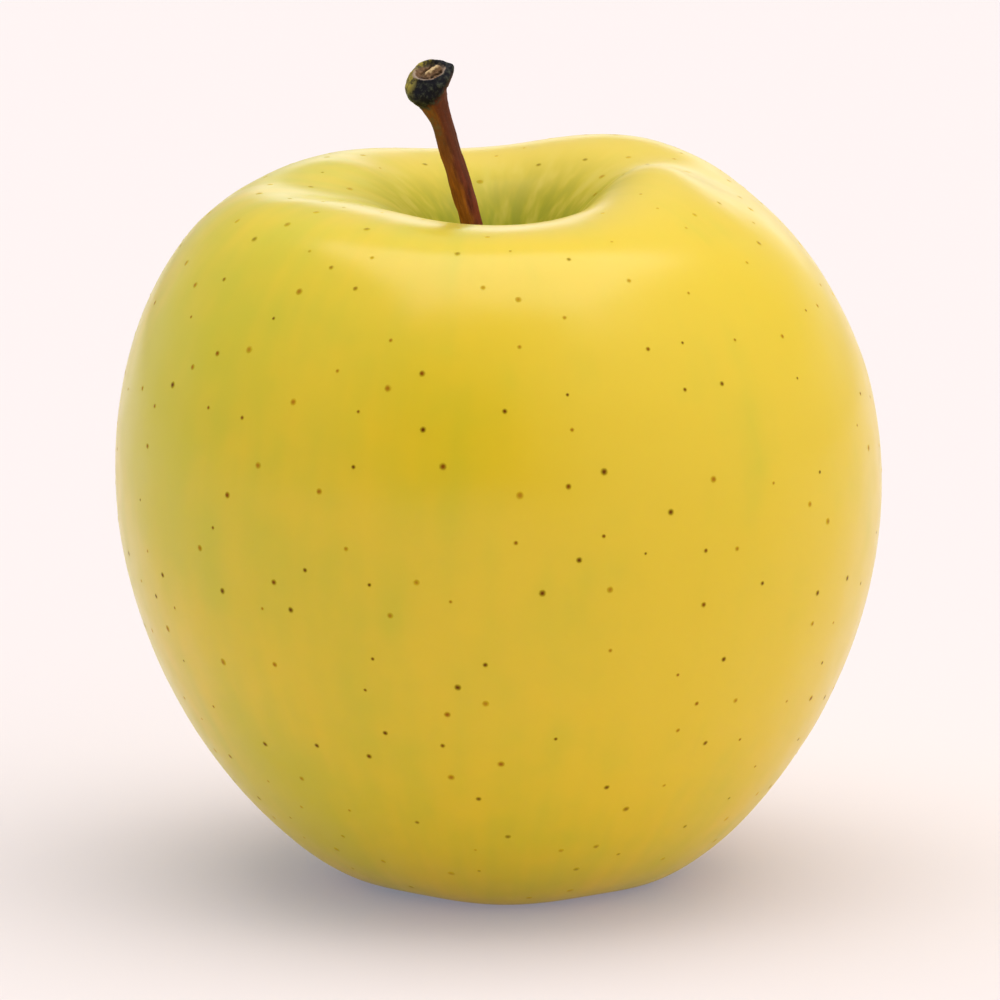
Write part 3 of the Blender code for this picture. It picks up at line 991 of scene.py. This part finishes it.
def bark_material():
    """Bark in painted light and shade, a shaded red-brown on its right and a lit orange on its left,
    with a black and mossy head and a pale-rimmed scar that carries a painted highlight on its ridge and
    painted shade in its slot.
    """
    material, g, shader = new_material("stalk_bark")
    place = g.out(g.node("ShaderNodeTexCoord"), "Object")
    bark = g.read("bark_place", "FLOAT_VECTOR")
    x, y, along = g.split(bark)
    height = g.split(place)[2]
    fibre = g.grain(x, y, along, 0.30 * MM, 2.2 * MM, detail=4, roughness=0.6)
    blotch = g.grain(x, y, along, 0.9 * MM, 3.0 * MM, detail=3, roughness=0.6)
    grime = g.noise(place, 1 / (0.55 * MM), detail=4, roughness=0.65)
    speck = g.noise(place, 1 / (0.12 * MM))
    across, up, out = scar_place(g, place)
    lower = g.ramp(66 * MM, 71 * MM, height, 1, 0)
    # Painted light and shade: lit orange on the left side, more so low down, and shaded red on the
    # right.
    painted_lit_side = g.ramp(-0.25, 0.35, blotch * 1.2 - 0.6 - x / STALK_RADIUS + lower * 0.25)
    strand = g.ramp(0.30, 0.70, fibre * 0.6 + blotch * 0.4)
    shade = g.mix(strand, *SHADED_RED_BARK)
    light = g.mix(strand, *LIT_ORANGE_BARK)
    colour = g.mix(painted_lit_side, shade, light)
    colour = g.mix(g.ramp(67 * MM, 73 * MM, height) * 0.5, colour, UPPER_BARK)
    neck = g.ramp(71.5 * MM, 74.0 * MM, height)
    olive = neck * g.ramp(0.0, 0.5, -1.0 * x / STALK_RADIUS) * g.ramp(0.35, 0.65, grime)
    colour = g.mix(olive * 0.8, colour, OLIVE_NECK)
    # Black over the top of the head, down to about two millimetres below the scar, reaching further on
    # its left.
    black_band_edge = out + (grime - 0.5) * (1.6 * MM) + (blotch - 0.5) * (0.8 * MM) - across * 0.55
    black_band = g.ramp(-2.4 * MM, -1.4 * MM, black_band_edge)
    black = g.mix(g.ramp(0.45, 0.68, grime), *BLACK_BAND_TONES)
    colour = g.mix(black_band, colour, black)
    flank = g.mix(g.ramp(-1.4 * MM, -0.2 * MM, out), *MOSS)
    left_flank = g.ramp(0.1 * MM, 1.5 * MM, up * 0.6 - across) * g.ramp(-2.7 * MM, -1.7 * MM, out)
    colour = g.mix(left_flank * g.ramp(0.40, 0.58, grime, 0.15, 1.0), colour, flank)
    across, up = scar_warp(g, across, up, place)
    oval = scar_oval(g, across, up, (grime - 0.5) * 0.22)
    top_face = g.ramp(-0.75 * MM, -0.35 * MM, out)
    rim = top_face * g.ramp(0.80, 0.93, oval) * g.ramp(1.03, 1.15, oval, 1, 0)
    rim = rim * g.ramp(-0.2 * MM, 0.9 * MM, up, 1, 0.15)
    inside = top_face * g.ramp(0.88, 1.0, oval, 1, 0)
    wood = g.mix(g.ramp(0.3, 0.7, fibre * 0.4 + grime * 0.6), *SCAR_WOOD)
    colour = g.mix(inside, colour, wood)
    # Tints and painted light on the scar, along its lines: a painted highlight on the ridge and painted
    # shade in the slot.
    for line, line_width, share, tint_and_light in SCAR_TINTS_AND_LIGHT:
        colour = g.mix(inside * near_line(g, across, up, line, line_width) * share, colour, tint_and_light)
    colour = g.mix(rim * 0.9, colour, SCAR_RIM)
    colour = g.mix(g.ramp(0.62, 0.75, speck) * (1 - black_band) * 0.25, colour, PALE_SPECK)
    roughness = g.ramp(0.3, 0.7, fibre * 0.5 + grime * 0.5, 0.50, 0.78)
    g.fill(shader, Base_Color=colour, Roughness=roughness, Specular_IOR_Level=0.15)
    add_bump(g, shader, fibre * 0.6 + grime * 0.4, 0.06 * MM, 0.8)
    return material


def make_stalk():
    stalk = link_object("stalk_bark", stalk_mesh())
    run_tree(stalk, bark_tree())
    stalk.data.materials.append(bark_material())
    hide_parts("stalk")
    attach(stalk, "root")


# The calyx, in the basin of the base

CALYX_SEAT = 1.5 * MM
HUB_RADIUS = 2.55 * MM
HUB_DEPTH = 1.7 * MM
HUB_ROWS = 48
HUB_SIDES = 72
SEPAL_ROWS = 22
SEPAL_COLUMNS = 12
SEPAL_LENGTH = 2.6 * MM
SEPAL_WIDTH = 2.4 * MM
SEPAL_THICKNESS = 0.22 * MM
SEPAL_SEED = 5
THREADS = 18
THREAD_LENGTH = 1.9 * MM
FUZZ_LENGTH = 0.45 * MM
SEPAL_BROWNS = ((0.060, 0.040, 0.022), (0.230, 0.185, 0.095))
STAMEN_BROWNS = ((0.045, 0.025, 0.015), (0.120, 0.070, 0.035))
HAIR_TONES = ((0.330, 0.300, 0.220), (0.550, 0.520, 0.420))


def calyx_core():
    return core_at(BASIN_DEPTH).xy.to_3d()


def hub_mesh():
    """A shallow cup that sits in the roof of the basin, mouth down, with the stamens' floor inside."""
    top = BASIN_DEPTH + CALYX_SEAT - GAP
    outline = curve_through(
        [
            (0.02 * MM, top),
            (HUB_RADIUS * 0.8, top - 0.02 * MM),
            (HUB_RADIUS, top - 0.35 * MM),
            (HUB_RADIUS * 0.98, top - HUB_DEPTH),
            (HUB_RADIUS * 0.86, top - HUB_DEPTH - 0.15 * MM),
            (HUB_RADIUS * 0.70, top - HUB_DEPTH + 0.2 * MM),
            (HUB_RADIUS * 0.40, top - HUB_DEPTH * 0.62),
            (0.02 * MM, top - HUB_DEPTH * 0.58),
        ],
        HUB_ROWS,
    )
    closed = [(0, outline[0][1]), *outline, (0, outline[-1][1])]
    mesh = spin_mesh("calyx_hub", closed, HUB_SIDES)
    mesh.transform(Matrix.Translation(calyx_core()))
    return mesh


def sepal_rows(bm, angle, curl, twist, spread, length):
    """One dry sepal from the hub's rim, broad at its foot, pointed and curled at its tip."""
    mouth = BASIN_DEPTH + CALYX_SEAT - GAP - HUB_DEPTH
    outwards = Vector((cos(angle), sin(angle), 0))
    sideways = Vector((-sin(angle), cos(angle), 0))
    place = calyx_core() + outwards * (HUB_RADIUS * 0.80) + Vector((0, 0, mouth + 0.25 * MM))
    lean = radians(spread)
    rows = []
    for i in range(SEPAL_ROWS):
        t = i / (SEPAL_ROWS - 1)
        ahead = outwards * sin(lean) + Vector((0, 0, -cos(lean)))
        face = outwards * cos(lean) + Vector((0, 0, sin(lean)))
        width = SEPAL_WIDTH / 2 * max((1 - t**2.2) * (0.72 + 0.28 * sin(pi * min(t * 1.6, 1))), 0.03)
        thick = SEPAL_THICKNESS * (1 - 0.6 * t) / 2
        turn = twist * t
        side = sideways * cos(turn) + face * sin(turn)
        up = face * cos(turn) - sideways * sin(turn)
        row = []
        for j in range(2 * SEPAL_COLUMNS):
            around = 2 * pi * j / (2 * SEPAL_COLUMNS)
            s = cos(around)
            cup = (1 - s * s) * 0.28 * width
            edge = sin(around) * thick * (1 - 0.6 * s**4)
            row.append(bm.verts.new(place + side * (s * width) + up * (edge - cup)))
        rows.append(row)
        place = place + ahead * (length / (SEPAL_ROWS - 1))
        lean += radians(curl) / (SEPAL_ROWS - 1) * (0.4 + 1.2 * t)
    close_rows(bm, rows)


def sepals_mesh():
    draw = Random(SEPAL_SEED)
    bm = bmesh.new()
    for k in range(LOBES):
        angle = 2 * pi * k / LOBES + draw.uniform(-0.10, 0.10)
        curl = draw.uniform(-165, -120)
        twist = draw.uniform(-0.5, 0.5)
        sepal_rows(bm, angle, curl, twist, draw.uniform(22, 38), SEPAL_LENGTH * draw.uniform(0.9, 1.1))
    return smooth_mesh("calyx_sepals", bm)


def threads_tree():
    """Old stamens: bent threads with small heads, set in rings round the middle of the hub."""
    tree, g, given, leave = geometry_tree(
        "stamen_threads",
        ("Centre", "Vector", (0, 0, 0)),
        ("Count", "Int", THREADS),
        ("Ring radius", "Float", 0.95 * MM),
        ("Length", "Float", THREAD_LENGTH),
        ("Thickness", "Float", 0.075 * MM),
        ("Seed", "Int", 11),
        ("Material", "Material", None),
    )
    ring = {"Resolution": given["Count"], "Radius": given["Ring radius"]}
    circle = g.node("GeometryNodeCurvePrimitiveCircle", **ring)
    points = g.node("GeometryNodeCurveToPoints", {"mode": "EVALUATED"}, Curve=g.out(circle))
    seed = given["Seed"]
    shift = g.draw(in_mm(-0.45, -0.45, 0.0), in_mm(0.45, 0.45, 0.2), seed)
    offset = g.vector_math("ADD", given["Centre"], shift)
    spread = g.node("GeometryNodeSetPosition", Geometry=g.out(points, "Points"), Offset=offset)
    line = g.node(
        "GeometryNodeCurveQuadraticBezier",
        Resolution=9,
        Start=(0, 0, 0),
        Middle=g.join(0.0, 0.0, given["Length"] * -0.6),
        End=g.join(given["Length"] * 0.4, 0.0, given["Length"] * -0.85),
    )
    share = g.out(g.node("GeometryNodeSplineParameter"), "Factor")
    knob = g.ramp(0.86, 0.93, share) * 1.4 + 1.0
    line = g.node("GeometryNodeSetCurveRadius", Curve=g.out(line), Radius=knob)
    profile = g.node("GeometryNodeCurvePrimitiveCircle", Resolution=7, Radius=given["Thickness"])
    tube = g.node(
        "GeometryNodeCurveToMesh",
        Curve=g.out(line),
        Profile_Curve=g.out(profile),
        Scale=knob,
        Fill_Caps=True,
    )
    turn = g.draw(0.0, 2 * pi, seed + 1)
    tip = g.draw(-0.35, 0.35, seed + 2)
    size = g.draw(0.65, 1.1, seed + 3)
    copies = g.node(
        "GeometryNodeInstanceOnPoints",
        Points=g.out(spread),
        Instance=g.out(tube),
        Rotation=g.join(tip, tip, turn),
        Scale=size,
    )
    real = g.node("GeometryNodeRealizeInstances", Geometry=g.out(copies))
    smooth = g.node("GeometryNodeSetShadeSmooth", Geometry=g.out(real))
    dressed = g.node("GeometryNodeSetMaterial", Geometry=g.out(smooth), Material=given["Material"])
    g.feed(leave.inputs[0], g.out(dressed))
    return tree


def fuzz_tree():
    """Short pale hairs, scattered over the sepals and turned every way."""
    tree, g, given, leave = geometry_tree(
        "sepal_fuzz",
        ("Sepals", "Object", None),
        ("Count for each area", "Float", 9.0e6),
        ("Length", "Float", FUZZ_LENGTH),
        ("Thickness", "Float", 0.016 * MM),
        ("Seed", "Int", 3),
        ("Material", "Material", None),
    )
    sepals = g.out(g.node("GeometryNodeObjectInfo", Object=given["Sepals"]), "Geometry")
    scatter = g.node(
        "GeometryNodeDistributePointsOnFaces",
        Mesh=sepals,
        Density=given["Count for each area"],
        Seed=given["Seed"],
    )
    hair = g.node(
        "GeometryNodeMeshCone",
        Vertices=3,
        Radius_Top=given["Thickness"] * 0.2,
        Radius_Bottom=given["Thickness"],
        Depth=given["Length"],
    )
    tilt = g.draw((-1.1, -1.1, 0.0), (1.1, 1.1, 6.2), given["Seed"] + 1)
    turned = g.node("FunctionNodeRotateRotation", {"rotation_space": "LOCAL"})
    g.feed(turned.inputs[0], g.out(scatter, "Rotation"))
    g.feed(turned.inputs[1], tilt)
    size = g.draw(0.4, 1.0, given["Seed"] + 2)
    copies = g.node(
        "GeometryNodeInstanceOnPoints",
        Points=g.out(scatter, "Points"),
        Instance=g.out(hair),
        Rotation=g.out(turned),
        Scale=size,
    )
    real = g.node("GeometryNodeRealizeInstances", Geometry=g.out(copies))
    dressed = g.node("GeometryNodeSetMaterial", Geometry=g.out(real), Material=given["Material"])
    g.feed(leave.inputs[0], g.out(dressed))
    return tree


def dry_material(name, dark, pale, grain_size, roughness):
    """Dry plant fibre: two tones in streaks, with a fine grain."""
    material, g, shader = new_material(name)
    place = g.out(g.node("ShaderNodeTexCoord"), "Object")
    x, y, z = g.split(place)
    streak = g.grain(x, y, z, grain_size, 4 * grain_size, detail=4, roughness=0.6)
    blotch = g.noise(place, 1 / (6 * grain_size), detail=3)
    share = g.ramp(0.30, 0.70, streak * 0.5 + blotch * 0.5)
    uneven = g.ramp(0.3, 0.7, streak, roughness - 0.08, roughness + 0.08)
    g.fill(shader, Base_Color=g.mix(share, dark, pale), Roughness=uneven)
    add_bump(g, shader, streak, 0.04 * MM, 0.7)
    return material


def make_calyx():
    sepal_fibre = dry_material("sepal_fibre", *SEPAL_BROWNS, 0.18 * MM, 0.8)
    stamen_fibre = dry_material("stamen_fibre", *STAMEN_BROWNS, 0.12 * MM, 0.7)
    hair = dry_material("sepal_hair", *HAIR_TONES, 0.30 * MM, 0.9)
    hub = link_object("calyx_hub", hub_mesh())
    hub.data.materials.append(sepal_fibre)
    sepals = link_object("calyx_sepals", sepals_mesh())
    sepals.data.materials.append(sepal_fibre)
    threads = link_object("calyx_stamens", bpy.data.meshes.new("calyx_stamens"))
    centre = calyx_core() + Vector((0, 0, BASIN_DEPTH + CALYX_SEAT - GAP - 0.58 * HUB_DEPTH))
    run_tree(threads, threads_tree(), Centre=centre, Material=stamen_fibre)
    fuzz = link_object("calyx_fuzz", bpy.data.meshes.new("calyx_fuzz"))
    run_tree(fuzz, fuzz_tree(), Sepals=sepals, Material=hair)
    for piece in (hub, sepals, threads, fuzz):
        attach(piece, "root")
    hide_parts("calyx")


def main():
    place_camera()
    light_studio()
    lay_floor()
    skin = make_skin()
    make_pores(skin)
    make_stalk()
    make_calyx()


main()
